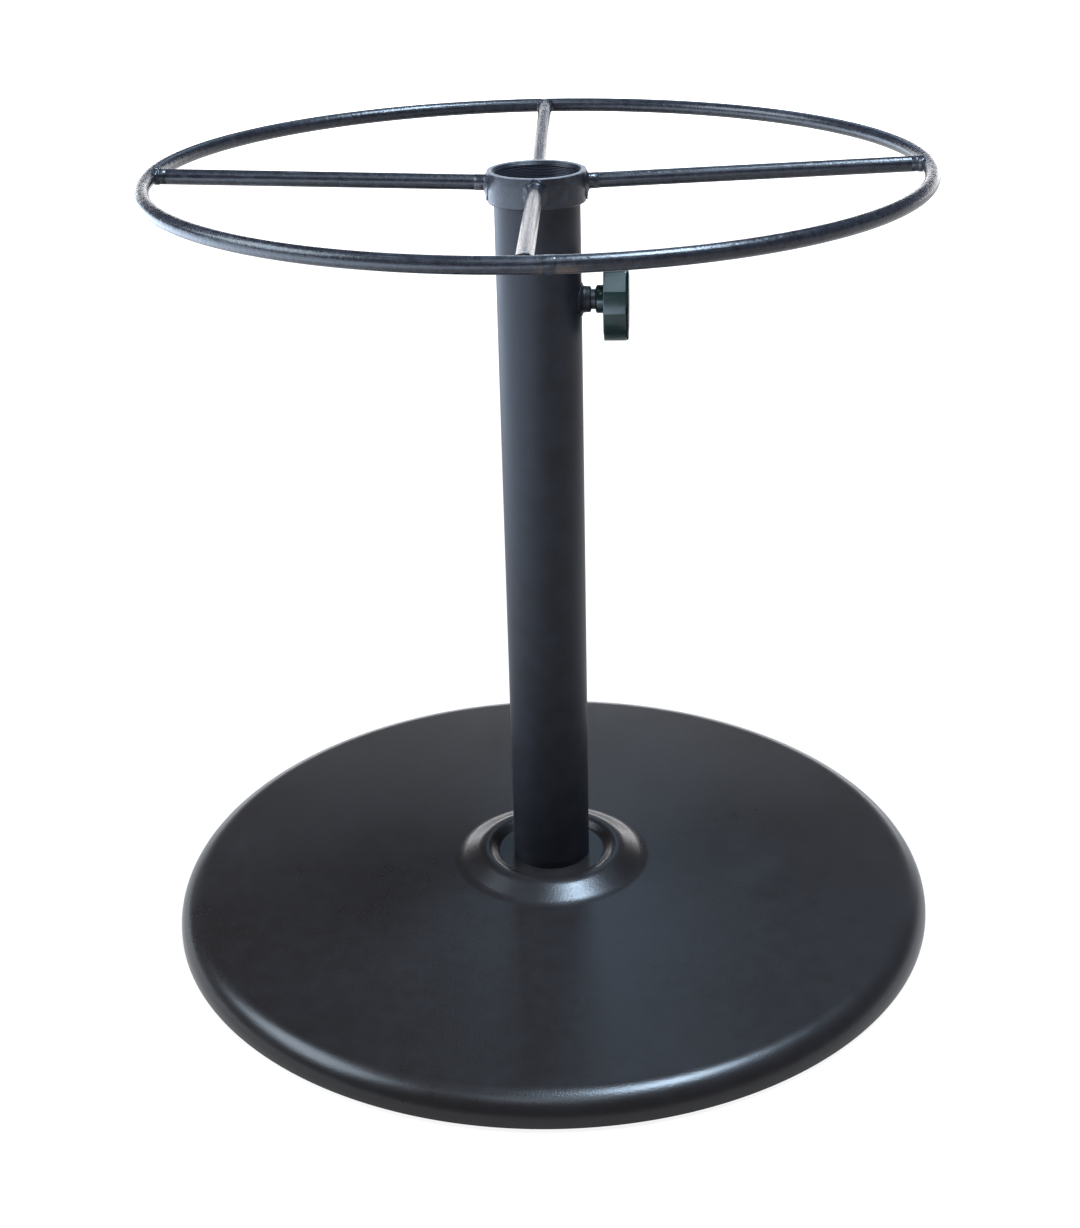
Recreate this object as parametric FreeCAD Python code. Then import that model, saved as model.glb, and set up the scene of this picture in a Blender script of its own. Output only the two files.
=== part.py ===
import FreeCAD, Part
import os
from math import cos, pi, radians, sin, tan

# Parasol stand with a table ring: a weighted round base, a tubular post with a clamp screw,
# and a lift-off collar that carries a rod ring on four spokes.
# Millimetres. Z points up, the origin is on the floor under the middle of the post,
# and the clamp screw points along +X.

# --- post -------------------------------------------------------------------
post_radius = 25.4             # 2 inch tube
post_wall = 1.5
post_length = 456.6
plug_seat_depth = 0.5          # how far the tube is bored out for the foot plug
plug_thickness = 12.0
plug_gap = 0.05

# --- base -------------------------------------------------------------------
base_radius = 252.0
cover_wall = 1.5
rim_round = 17.5               # outside radius of the rolled rim, and its height
cover_slope_rise = 6.5         # from the rim up to the foot of the boss
boss_rise = 8.5                # from the foot of the boss to its crest
boss_outer_run = 15.0          # width of the boss's outer slope
boss_crest_width = 5.5
boss_inner_run = 6.0           # width of its inner slope
recess_margin = 10.6           # floor of the recess round the post
recess_drop = 4.2              # from the crest down to the floor that the post stands on
boss_foot_round = 8.0
boss_outer_round = 10.0
boss_inner_round = 7.0
recess_round = 4.0
rim_lift = 3.0                 # the rim hangs this far above the floor
plate_recess = 1.0             # the bottom plate lies this far above the rim's edge
plate_thickness = 1.5
plate_gap = 1.0
ballast_gap = 0.5
ballast_pad_margin = 2.0       # the ballast's centre pad is this much smaller than the recess
ballast_edge_gap = 1.0

# --- base bolt, M12 ---------------------------------------------------------
bolt_radius = 6.0
bolt_clearance = 0.5
bolt_head_flats = 18.0
bolt_head_height = 7.5
bolt_tip_gap = 0.5             # the bolt ends this far below the top of the plug
bolt_end_chamfer = 0.8
washer_radius = 12.0
washer_thickness = 2.5
spring_washer_radius = 10.5
spring_washer_thickness = 3.0
spring_washer_slit = 1.2
spring_washer_slant = 30.0     # of the slit, from upright, degrees
counterbore_radius = 20.0
counterbore_ceiling = 11.5     # ballast left above the counterbore

# --- screws and feet under the base -----------------------------------------
foot_count = 6
foot_inset = 30.0              # from the base's edge to the middle of a foot
foot_radius = 15.0
foot_edge_round = 0.8
foot_screw_radius = 2.5
foot_screw_head_radius = 4.8
foot_screw_head_height = 1.6
foot_screw_sink = 2.2          # depth of the pocket for the screw head
foot_pocket_gap = 1.0
foot_screw_grip = 9.0          # thread held by the ballast
plate_screw_count = 6
plate_screw_circle_radius = 130.0
plate_screw_radius = 2.5
plate_screw_head_radius = 4.6
plate_screw_head_height = 2.6
plate_screw_head_chamfer = 0.9
plate_screw_grip = 10.0
screw_clearance = 0.3
screw_slot_width = 1.2
screw_slot_depth = 1.0

# --- clamp screw, M12 -------------------------------------------------------
clamp_drop = 74.0              # from the post's top edge down to the clamp screw
clamp_thread_radius = 6.0
thread_fit = 0.05
clamp_hole_gap = 0.5
clamp_boss_wall = 1.8
clamp_boss_length = 5.5        # from the post's skin to the end of the boss
clamp_boss_chamfer = 0.7
boss_weld_leg = 2.2
pad_ease = 1.0                 # the pad is this much smaller than the thread
pad_thickness = 1.5
pad_setback = 0.1              # the open pad stays this far outside the bore
pad_spigot_radius = 2.4
pad_spigot_length = 4.0
pad_axial_gap = 0.1
knob_gap = 2.6                 # between the boss and the neck of the knob, clamp open
knob_neck_wall = 2.5
knob_neck_length = 4.9
knob_neck_chamfer = 1.2
knob_corner_radius = 24.9
knob_sides = 12
knob_thickness = 15.2
knob_clocking = -6.5           # turn of the first corner from -Y towards +Z, degrees
knob_side_round = 1.2
knob_face_round = 2.0
stud_in_knob = 14.0

# --- collar -----------------------------------------------------------------
collar_wall = 3.3
collar_fit = 0.3
collar_skirt = 15.4            # from the post's top edge down to the collar's lower edge
collar_lip = 3.0
collar_lip_ease = 0.3          # the lip's bore is this much wider than the post's
collar_lower_round = 1.2
collar_top_chamfer = 0.6
collar_lead_in = 2.2           # chamfer of the lip's bore, where a pole goes in

# --- table ring and spokes, 9 mm rod ----------------------------------------
rod_radius = 4.5
ring_radius = 225.0            # to the middle of the rod
ring_below_collar = 0.4        # middle of the ring's rod below the collar's top
spoke_top_margin = 2.6         # from the collar's top down to the spoke's upper side, at the collar
collar_weld_leg = 2.3          # how far the bead climbs up the collar round the spoke
collar_weld_length = 5.5       # and how far it runs out along the spoke
ring_weld_leg = 1.6
ring_weld_length = 5.0
weld_toe = 0.15                # thickness of a bead where it dies out on the spoke
ring_turn = 1.5                # the ring at rest, turned about the post from the clamp screw
spoke_butt_gap = 0.2
ring_joint_angle = 274.5       # where the rod's two ends are welded together, from +X
ring_joint_gap = 1.6
ring_joint_bead = 0.25         # the bead is ground nearly flush
ring_joint_width = 7.0

# --- levels and places that follow ------------------------------------------
recess_radius = post_radius + recess_margin
crest_inner_radius = recess_radius + boss_inner_run
crest_outer_radius = crest_inner_radius + boss_crest_width
boss_foot_radius = crest_outer_radius + boss_outer_run
ballast_pad_radius = recess_radius - ballast_pad_margin
foot_circle_radius = base_radius - foot_inset
plate_bottom = rim_lift + plate_recess
plate_top = plate_bottom + plate_thickness
boss_foot_height = rim_round + cover_slope_rise
recess_height = boss_foot_height + boss_rise - recess_drop
post_bottom = rim_lift + recess_height
post_top = post_bottom + post_length
clamp_height = post_top - clamp_drop
post_bore_radius = post_radius - post_wall
plug_seat_radius = post_bore_radius + plug_seat_depth
plug_top = post_bottom + plug_thickness
ballast_top = post_bottom - cover_wall
counterbore_top = ballast_top - counterbore_ceiling
bolt_head_top = counterbore_top - washer_thickness - spring_washer_thickness
clamp_boss_radius = clamp_thread_radius + clamp_boss_wall
clamp_boss_reach = post_radius + clamp_boss_length
knob_neck_radius = clamp_thread_radius + knob_neck_wall
pad_radius = clamp_thread_radius - pad_ease
pad_face = post_bore_radius + pad_setback
stud_start = pad_face + pad_thickness + pad_axial_gap
knob_start = clamp_boss_reach + knob_gap
knob_back = knob_start + knob_neck_length
knob_face = knob_back + knob_thickness
stud_end = knob_start + stud_in_knob
collar_top = post_top + collar_lip
collar_bottom = post_top - collar_skirt
collar_bore_radius = post_radius + collar_fit
collar_radius = collar_bore_radius + collar_wall
collar_lip_radius = post_bore_radius + collar_lip_ease
ring_height = collar_top - ring_below_collar
spoke_height = collar_top - spoke_top_margin - rod_radius
spoke_names = ["spoke_right", "spoke_rear", "spoke_left", "spoke_front"]

UP = FreeCAD.Vector(0, 0, 1)
OUT = FreeCAD.Vector(1, 0, 0)
ORIGIN = FreeCAD.Vector(0, 0, 0)
TOUCH = 0.05                   # closer than this counts as the same place


def point(x, y, z):
    return FreeCAD.Vector(x, y, z)


def upright(radius, low, high, x=0.0, y=0.0):
    """A vertical cylinder between two heights."""
    return Part.makeCylinder(radius, high - low, point(x, y, low), UP)


def level(radius, near, far):
    """A cylinder along the clamp's axis, between two distances from the post's axis."""
    return Part.makeCylinder(radius, far - near, point(near, 0, clamp_height), OUT)


def level_cone(near_radius, far_radius, near, far):
    return Part.makeCone(near_radius, far_radius, far - near, point(near, 0, clamp_height), OUT)


def tube(outer, inner, low, high):
    return upright(outer, low, high).cut(upright(inner, low, high))


def edges_within(shape, low, high, axis="Z"):
    """The edges that lie wholly between two places along an axis."""
    found = []
    for edge in shape.Edges:
        box = edge.BoundBox
        if getattr(box, axis + "Min") > low - TOUCH and getattr(box, axis + "Max") < high + TOUCH:
            found.append(edge)
    return found


def spun(wire):
    """A solid turned about Z from a closed wire in the XZ plane."""
    return Part.Face(wire).revolve(ORIGIN, UP, 360)


def rounded_path(corners):
    """An open wire in the XZ plane through (radius, height, rounding) corners."""
    edges = []
    last = point(corners[0][0], 0, corners[0][1])
    for before, corner, after in zip(corners, corners[1:], corners[2:]):
        here = point(corner[0], 0, corner[1])
        back = (point(before[0], 0, before[1]) - here).normalize()
        ahead = (point(after[0], 0, after[1]) - here).normalize()
        half = back.getAngle(ahead) / 2
        start = here + back * (corner[2] / tan(half))
        end = here + ahead * (corner[2] / tan(half))
        middle_way = (back + ahead).normalize()
        middle = here + middle_way * (corner[2] / sin(half) - corner[2])
        edges.append(Part.LineSegment(last, start).toShape())
        edges.append(Part.Arc(start, middle, end).toShape())
        last = end
    edges.append(Part.LineSegment(last, point(corners[-1][0], 0, corners[-1][1])).toShape())
    return Part.Wire(edges)


def ends(wire):
    vertexes = wire.OrderedVertexes
    return vertexes[0].Point, vertexes[-1].Point


def closed_between(outer, inner):
    """The closed wire made of two open wires and the lines that join their ends."""
    outer_start, outer_end = ends(outer)
    inner_start, inner_end = ends(inner)
    links = [
        Part.LineSegment(outer_end, inner_end).toShape(),
        Part.LineSegment(inner_start, outer_start).toShape(),
    ]
    return Part.Wire(Part.__sortEdges__(outer.Edges + inner.Edges + links))


def on_circle(radius, count, first_angle):
    """Places spaced evenly on a circle about the post's axis."""
    angles = [radians(first_angle + 360 / count * i) for i in range(count)]
    return [(radius * cos(a), radius * sin(a)) for a in angles]


foot_places = on_circle(foot_circle_radius, foot_count, 90)
plate_screw_places = on_circle(plate_screw_circle_radius, plate_screw_count, 60)


def hexagon(flats, low, high, round_over):
    """A hexagon prism with its corners turned off at the lower end."""
    corner = flats / 2 / cos(pi / 6)
    corners = [point(x, y, low) for x, y in on_circle(corner, 6, 0)]
    prism = Part.Face(Part.makePolygon(corners + corners[:1])).extrude(UP * (high - low))
    turned = upright(corner, low, high)
    return prism.common(turned.makeChamfer(round_over, edges_within(turned, low, low)))


def cover_outline(depth):
    """The pressed cover's outline, this far inside its outer skin, from the rim to the bolt hole."""
    crest_height = boss_foot_height + boss_rise
    skin = rounded_path([
        (base_radius, 0, 0),
        (base_radius, rim_round, rim_round),
        (boss_foot_radius, boss_foot_height, boss_foot_round),
        (crest_outer_radius, crest_height, boss_outer_round),
        (crest_inner_radius, crest_height, boss_inner_round),
        (recess_radius, recess_height, recess_round),
        (bolt_radius + bolt_clearance, recess_height, 0),
    ])
    skin.translate(UP * rim_lift)
    if depth == 0:
        return skin
    return skin.makeOffset2D(depth, 0, False, True)


def base_cover():
    return spun(closed_between(cover_outline(0), cover_outline(cover_wall)))


def ballast_body():
    """The casting's outside: the cover's inner shape, a gap below it, and a raised centre pad."""
    top = cover_outline(cover_wall + ballast_gap)
    rim, middle = ends(top)
    if rim.x < middle.x:
        rim, middle = middle, rim
    closing = Part.makePolygon([middle, point(0, 0, middle.z), point(0, 0, rim.z), rim])
    body = spun(Part.Wire(Part.__sortEdges__(top.Edges + closing.Edges)))
    body = body.fuse(upright(ballast_pad_radius, plate_top, ballast_top))
    edge = tube(2 * base_radius, base_radius - cover_wall - ballast_edge_gap, 0, post_bottom)
    return body.cut(upright(2 * base_radius, 0, plate_top)).cut(edge).removeSplitter()


def ballast_disc():
    body = ballast_body()
    body = body.cut(upright(counterbore_radius, plate_top, counterbore_top))
    body = body.cut(upright(bolt_radius + bolt_clearance, plate_top, ballast_top))
    for x, y in foot_places:
        body = body.cut(upright(foot_screw_radius, plate_top, plate_top + foot_screw_grip, x, y))
    for x, y in plate_screw_places:
        body = body.cut(upright(plate_screw_radius, plate_top, plate_top + plate_screw_grip, x, y))
    return body


def bottom_plate():
    plate = upright(base_radius - cover_wall - plate_gap, plate_bottom, plate_top)
    plate = plate.cut(upright(counterbore_radius, plate_bottom, plate_top))
    for x, y in foot_places:
        plate = plate.cut(
            upright(foot_screw_radius + screw_clearance, plate_bottom, plate_top, x, y))
    for x, y in plate_screw_places:
        plate = plate.cut(
            upright(plate_screw_radius + screw_clearance, plate_bottom, plate_top, x, y))
    return plate


def slot(x, y, head_radius, low):
    """The driver's slot across a screw head."""
    corner = point(x - head_radius, y - screw_slot_width / 2, low)
    return Part.makeBox(2 * head_radius, screw_slot_width, screw_slot_depth, corner)


def plate_screws():
    screws = []
    for x, y in plate_screw_places:
        low = plate_bottom - plate_screw_head_height
        head = upright(plate_screw_head_radius, low, plate_bottom, x, y)
        head = head.makeChamfer(plate_screw_head_chamfer, edges_within(head, low, low))
        shank = upright(plate_screw_radius, plate_bottom, plate_top + plate_screw_grip, x, y)
        screws.append(head.fuse(shank).cut(slot(x, y, plate_screw_head_radius, low)))
    return Part.makeCompound(screws)


def rubber_feet():
    feet = []
    for x, y in foot_places:
        foot = upright(foot_radius, 0, plate_bottom, x, y)
        foot = foot.makeFillet(foot_edge_round, edges_within(foot, 0, 0))
        foot = foot.cut(upright(foot_screw_radius + screw_clearance, 0, plate_bottom, x, y))
        pocket_radius = foot_screw_head_radius + foot_pocket_gap
        feet.append(foot.cut(upright(pocket_radius, 0, foot_screw_sink, x, y)))
    return Part.makeCompound(feet)


def foot_screws():
    screws = []
    for x, y in foot_places:
        low = foot_screw_sink - foot_screw_head_height
        head = upright(foot_screw_head_radius, low, foot_screw_sink, x, y)
        shank = upright(foot_screw_radius, foot_screw_sink, plate_top + foot_screw_grip, x, y)
        screws.append(head.fuse(shank).cut(slot(x, y, foot_screw_head_radius, low)))
    return Part.makeCompound(screws)


def base_bolt():
    head_bottom = bolt_head_top - bolt_head_height
    head = hexagon(bolt_head_flats, head_bottom, bolt_head_top, bolt_end_chamfer)
    tip = plug_top - bolt_tip_gap
    shank = upright(bolt_radius, bolt_head_top, tip)
    return head.fuse(shank.makeChamfer(bolt_end_chamfer, edges_within(shank, tip, tip)))


def base_bolt_washer():
    hole = bolt_radius + bolt_clearance
    return tube(washer_radius, hole, counterbore_top - washer_thickness, counterbore_top)


def base_bolt_spring_washer():
    low = bolt_head_top
    high = low + spring_washer_thickness
    coil = tube(spring_washer_radius, bolt_radius + bolt_clearance, low, high)
    corner = point(0, -spring_washer_slit / 2, low - high)
    slit = Part.makeBox(2 * spring_washer_radius, spring_washer_slit, 3 * (high - low), corner)
    slit.rotate(ORIGIN, OUT, spring_washer_slant)
    slit.translate(UP * (low + high) / 2)
    return coil.cut(slit)


def post_foot_plug():
    plug = upright(plug_seat_radius - plug_gap, post_bottom, plug_top)
    return plug.cut(upright(bolt_radius, post_bottom, plug_top))


def post_tube():
    post = upright(post_radius, post_bottom, post_top)
    post = post.cut(upright(post_bore_radius, plug_top, post_top))
    post = post.cut(upright(plug_seat_radius, post_bottom, plug_top))
    return post.cut(level(clamp_thread_radius + clamp_hole_gap, 0, 2 * post_radius))


def clamp_boss():
    boss = level(clamp_boss_radius, 0, clamp_boss_reach)
    end_edge = edges_within(boss, clamp_boss_reach, clamp_boss_reach, "X")
    boss = boss.makeChamfer(clamp_boss_chamfer, end_edge)
    boss = boss.cut(upright(post_radius, 0, post_top))
    return boss.cut(level(clamp_thread_radius + thread_fit, 0, clamp_boss_reach))


def clamp_boss_weld():
    wide = clamp_boss_radius + boss_weld_leg
    root = level(wide, 0, post_radius)
    bead = level_cone(wide, clamp_boss_radius, post_radius, post_radius + boss_weld_leg)
    bead = root.fuse(bead).cut(upright(post_radius, 0, post_top))
    return bead.cut(level(clamp_boss_radius, 0, 2 * post_radius))


def clamp_pad():
    disc = level(pad_radius, pad_face, pad_face + pad_thickness)
    spigot_end = stud_start + pad_spigot_length
    return disc.fuse(level(pad_spigot_radius, pad_face + pad_thickness, spigot_end))


def clamp_stud():
    stud = level(clamp_thread_radius, stud_start, stud_end)
    stud = stud.makeChamfer(bolt_end_chamfer, edges_within(stud, stud_start, stud_start, "X"))
    socket_end = stud_start + pad_spigot_length + pad_axial_gap
    return stud.cut(level(pad_spigot_radius + thread_fit, stud_start, socket_end))


def knob_corner(i, x):
    turn = radians(knob_clocking + 360 / knob_sides * i)
    lift = knob_corner_radius * sin(turn)
    return point(x, -knob_corner_radius * cos(turn), clamp_height + lift)


def clamp_knob():
    outline = Part.makePolygon([knob_corner(i, knob_back) for i in range(knob_sides + 1)])
    grip = Part.Face(outline).extrude(OUT * knob_thickness)
    long_edges = [e for e in grip.Edges if e.BoundBox.XLength > knob_thickness / 2]
    grip = grip.makeFillet(knob_side_round, long_edges)
    face_edges = edges_within(grip, knob_face, knob_face, "X")
    back_edges = edges_within(grip, knob_back, knob_back, "X")
    grip = grip.makeFillet(knob_face_round, face_edges + back_edges)
    neck = level_cone(knob_neck_radius - knob_neck_chamfer, knob_neck_radius,
                      knob_start, knob_start + knob_neck_chamfer)
    neck = neck.fuse(level(knob_neck_radius, knob_start + knob_neck_chamfer, knob_back))
    return grip.fuse(neck).cut(level(clamp_thread_radius, knob_start, stud_end))


def collar():
    body = upright(collar_radius, collar_bottom, collar_top)
    body = body.makeFillet(collar_lower_round, edges_within(body, collar_bottom, collar_bottom))
    body = body.makeChamfer(collar_top_chamfer, edges_within(body, collar_top, collar_top))
    body = body.cut(upright(collar_lip_radius, collar_bottom, collar_top))
    body = body.cut(upright(collar_bore_radius, collar_bottom, post_top))
    lead_in = Part.makeCone(collar_lip_radius, collar_lip_radius + collar_lead_in, collar_lead_in,
                            point(0, 0, collar_top - collar_lead_in), UP)
    return body.cut(lead_in)


def ring_rod(radius):
    return Part.makeTorus(ring_radius, radius, point(0, 0, ring_height), UP)


def ring_slice(width):
    """A block across the ring's rod at its joint."""
    size = 4 * rod_radius
    corner = point(ring_radius - size / 2, -width / 2, ring_height - size / 2)
    block = Part.makeBox(size, width, size, corner)
    block.rotate(ORIGIN, UP, ring_joint_angle)
    return block


def table_ring():
    return ring_rod(rod_radius).cut(ring_slice(ring_joint_gap))


def tabletop():
    """The space of the tabletop that rests on the ring: welds are dressed flush with it."""
    rest = ring_height + rod_radius
    return upright(ring_radius + 2 * rod_radius, rest, rest + 2 * rod_radius)


def ring_joint_weld():
    bead = ring_rod(rod_radius + ring_joint_bead).common(ring_slice(ring_joint_width))
    return bead.cut(table_ring()).cut(tabletop())


def spoke_way():
    """Where the spoke on +X starts on the collar's skin and where it butts against the ring."""
    butt = ring_radius - rod_radius - spoke_butt_gap
    return point(collar_radius, 0, spoke_height), point(butt, 0, ring_height)


def spoke_bar():
    """A straight bar along the spoke on +X, run on into the collar."""
    inner, outer = spoke_way()
    run = (outer - inner).normalize()
    start = inner - run * 2 * rod_radius
    return Part.makeCylinder(rod_radius, (outer - start).Length, start, run)


def collar_blank():
    return upright(collar_radius, collar_bottom - collar_radius, collar_top + collar_radius)


def spoke():
    return spoke_bar().cut(collar_blank())


def spoke_bead(foot, out, leg, length):
    """A conical bead round the spoke on +X, widest at its foot and dying out along the spoke."""
    start = foot - out * leg
    bead = Part.makeCylinder(rod_radius + leg, leg, start, out)
    cone = Part.makeCone(rod_radius + leg, rod_radius + weld_toe, length, foot, out)
    return bead.fuse(cone).cut(spoke_bar())


def collar_weld():
    inner, outer = spoke_way()
    bead = spoke_bead(inner, (outer - inner).normalize(), collar_weld_leg, collar_weld_length)
    return bead.cut(collar_blank())


def ring_weld():
    inner, outer = spoke_way()
    bead = spoke_bead(outer, (inner - outer).normalize(), ring_weld_leg, ring_weld_length)
    return bead.cut(ring_rod(rod_radius)).cut(tabletop())


def turned(shape, i):
    """A copy of a shape for one of the four spokes."""
    copy = shape.copy()
    copy.rotate(ORIGIN, UP, ring_turn + 360 / len(spoke_names) * i)
    return copy


def four_of(shape):
    return Part.makeCompound([turned(shape, i) for i in range(len(spoke_names))])


def nodes():
    made = {
        "base_cover": base_cover(),
        "ballast_disc": ballast_disc(),
        "bottom_plate": bottom_plate(),
        "plate_screws": plate_screws(),
        "rubber_feet": rubber_feet(),
        "foot_screws": foot_screws(),
        "base_bolt": base_bolt(),
        "base_bolt_washer": base_bolt_washer(),
        "base_bolt_spring_washer": base_bolt_spring_washer(),
        "post_tube": post_tube(),
        "post_foot_plug": post_foot_plug(),
        "clamp_boss": clamp_boss(),
        "clamp_boss_weld": clamp_boss_weld(),
        "clamp_pad": clamp_pad(),
        "clamp_stud": clamp_stud(),
        "clamp_knob": clamp_knob(),
        "collar": collar(),
        "table_ring": table_ring(),
        "ring_joint_weld": ring_joint_weld(),
        "collar_welds": four_of(collar_weld()),
        "ring_welds": four_of(ring_weld()),
    }
    bar = spoke()
    for i, name in enumerate(spoke_names):
        made[name] = turned(bar, i)
    return made


os.makedirs("parts", exist_ok=True)
for name, shape in nodes().items():
    shape.exportStep("parts/" + name + ".step")
    box = shape.BoundBox
    print(name, len(shape.Solids), shape.isValid(), round(shape.Volume, 1),
          [round(v, 2) for v in (box.XMin, box.YMin, box.ZMin, box.XMax, box.YMax, box.ZMax)])
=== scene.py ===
from math import atan2, cos, hypot, pi, radians, sin, sqrt, tan

import bmesh
import bpy
from mathutils import Matrix, Vector, noise


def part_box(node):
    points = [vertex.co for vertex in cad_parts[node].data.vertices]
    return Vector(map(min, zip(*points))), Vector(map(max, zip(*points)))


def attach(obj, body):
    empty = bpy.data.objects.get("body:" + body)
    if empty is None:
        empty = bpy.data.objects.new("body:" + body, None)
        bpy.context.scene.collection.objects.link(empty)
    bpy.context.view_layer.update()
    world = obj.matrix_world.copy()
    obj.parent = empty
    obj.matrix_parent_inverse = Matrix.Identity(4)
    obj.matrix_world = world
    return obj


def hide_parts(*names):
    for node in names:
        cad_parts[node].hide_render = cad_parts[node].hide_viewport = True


# Parasol stand with a table ring. Metres, in the CAD model's own frame.

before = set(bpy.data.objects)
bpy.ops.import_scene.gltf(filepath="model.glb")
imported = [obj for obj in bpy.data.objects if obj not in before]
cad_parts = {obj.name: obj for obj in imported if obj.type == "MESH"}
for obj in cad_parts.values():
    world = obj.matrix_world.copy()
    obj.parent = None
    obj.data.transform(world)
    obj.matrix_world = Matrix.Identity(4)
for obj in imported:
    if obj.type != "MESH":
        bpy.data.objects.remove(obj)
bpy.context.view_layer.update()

ORIGIN = Vector((0, 0, 0))
OUT = Vector((1, 0, 0))
UP = Vector((0, 0, 1))
MM = 0.001
FINE = 1e-6


# --- sizes read from the CAD model --------------------------------------------------------------
def low(node):
    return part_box(node)[0]


def high(node):
    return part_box(node)[1]


base_radius = high("base_cover").x
rim_lift = low("base_cover").z
boss_crest = high("base_cover").z
post_radius = high("post_tube").x
post_top = high("post_tube").z
post_foot = low("post_tube").z
collar_low = low("collar").z
collar_top = high("collar").z
collar_radius = high("collar").x
ring_outside = high("table_ring").x
ring_low = low("table_ring").z
ring_top = high("table_ring").z
rod_radius = (ring_top - ring_low) / 2
ring_height = (ring_top + ring_low) / 2
ring_radius = ring_outside - rod_radius
spoke_height = low("spoke_right").z + rod_radius
clamp_height = (low("clamp_boss").z + high("clamp_boss").z) / 2
clamp_boss_radius = (high("clamp_boss").z - low("clamp_boss").z) / 2
knob_near = low("clamp_knob").x
knob_far = high("clamp_knob").x
stud_radius = (high("clamp_stud").z - low("clamp_stud").z) / 2

# --- sizes of the shapes themselves -------------------------------------------------------------
cover_wall = 1.5 * MM
rim_round = 17.5 * MM
boss_foot_radius = 62.5 * MM
boss_foot_height = rim_lift + 24.0 * MM
crest_outer_radius = 47.5 * MM
crest_inner_radius = 42.0 * MM
recess_radius = 36.0 * MM
boss_foot_round = 16.0 * MM
crest_outer_round = 12.0 * MM
crest_inner_round = 7.0 * MM
recess_round = 4.0 * MM
bolt_hole_radius = 6.5 * MM
collar_bore_radius = 25.7 * MM
collar_lip_radius = 24.2 * MM
collar_lead_in = 2.2 * MM
ring_turn = radians(1.5)
ring_joint_angle = radians(274.5)
knob_neck_radius = 8.5 * MM
knob_back = knob_near + 4.9 * MM
knob_corner_radius = 24.9 * MM
knob_sides = 12
knob_clocking = radians(-6.5)
knob_front_round = 2.4 * MM
knob_back_round = 0.9 * MM
knob_corner_offset = 0.34 * MM
knob_face_border = 3.2 * MM
knob_face_step = 0.8 * MM
knob_face_depth = 0.7 * MM
knob_root_flare = 1.2 * MM
stud_in_knob = 14.0 * MM
spoke_sink = 2.0 * MM
spoke_cuts = 24
collar_bead_leg, collar_bead_length = 2.7 * MM, 7.0 * MM
ring_bead_leg, ring_bead_length = 1.9 * MM, 4.6 * MM
ring_bead_flatness = -0.95
ring_bead_overlap = 0.4 * MM
boss_bead_leg, boss_bead_length = 2.3 * MM, 2.7 * MM
rod_bead_lumps = 3.2 * MM
boss_bead_lumps = 3.0 * MM
joint_bead_half = 3.5 * MM


# --- mesh tools ---------------------------------------------------------------------------------
def template(mesh, corners, steps=8):
    """A wire in the XZ plane through (x, z, rounding) corners. Each rounding is a true arc."""
    pen = mesh.verts.new((corners[0][0], 0, corners[0][1]))
    for before, corner, after in zip(corners, corners[1:], corners[2:]):
        here = Vector((corner[0], 0, corner[1]))
        back = (Vector((before[0], 0, before[1])) - here).normalized()
        ahead = (Vector((after[0], 0, after[1])) - here).normalized()
        rounding = corner[2]
        half = back.angle(ahead) / 2
        start = mesh.verts.new(here + back * (rounding / tan(half)))
        mesh.edges.new((pen, start))
        pen = start
        if rounding:
            centre = here + (back + ahead).normalized() * (rounding / sin(half))
            bent = bmesh.ops.spin(mesh, geom=[start], cent=centre, axis=back.cross(ahead),
                                  angle=2 * half - pi, steps=steps)
            pen = [item for item in bent["geom_last"] if isinstance(item, bmesh.types.BMVert)][0]
    end = mesh.verts.new((corners[-1][0], 0, corners[-1][1]))
    mesh.edges.new((pen, end))


def spun(corners, axis=UP, turns=96, steps=8):
    """A mesh turned about an axis from a template."""
    mesh = bmesh.new()
    template(mesh, corners, steps)
    bmesh.ops.remove_doubles(mesh, verts=mesh.verts[:], dist=FINE)
    bmesh.ops.spin(mesh, geom=mesh.verts[:] + mesh.edges[:], cent=ORIGIN, axis=axis,
                   angle=2 * pi, steps=turns, use_merge=True)
    bmesh.ops.remove_doubles(mesh, verts=mesh.verts[:], dist=FINE)
    bmesh.ops.recalc_face_normals(mesh, faces=mesh.faces[:])
    return mesh


def cut_across(mesh, normal, places):
    """Cuts a mesh across at evenly spaced planes, so that it can be shaped between them."""
    for place in places:
        bmesh.ops.bisect_plane(mesh, geom=mesh.verts[:] + mesh.edges[:] + mesh.faces[:],
                               dist=FINE, plane_co=normal * place, plane_no=normal)


def lay_strokes(mesh, measure, rounds):
    """Stores how far along and how far round a rod each point lies, so that brush strokes follow it."""
    layer = mesh.loops.layers.uv.new("strokes")
    for face in mesh.faces:
        middle = measure(face.calc_center_median())
        for loop in face.loops:
            pair = []
            for value, centre, whole in zip(measure(loop.vert.co), middle, rounds):
                if whole:
                    value = centre + (value - centre + whole / 2) % whole - whole / 2
                pair.append(value)
            loop[layer].uv = pair


def place(name, mesh, finish, body, slot, *nodes, sharp=38):
    """Makes a mesh a piece of the stand in place of the CAD nodes named."""
    data = bpy.data.meshes.new(name)
    mesh.to_mesh(data)
    mesh.free()
    data.shade_smooth()
    data.set_sharp_from_angle(angle=radians(sharp))
    data.materials.append(finish)
    piece = bpy.data.objects.new(name, data)
    bpy.context.scene.collection.objects.link(piece)
    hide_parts(*nodes)
    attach(piece, body)
    return piece


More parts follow.
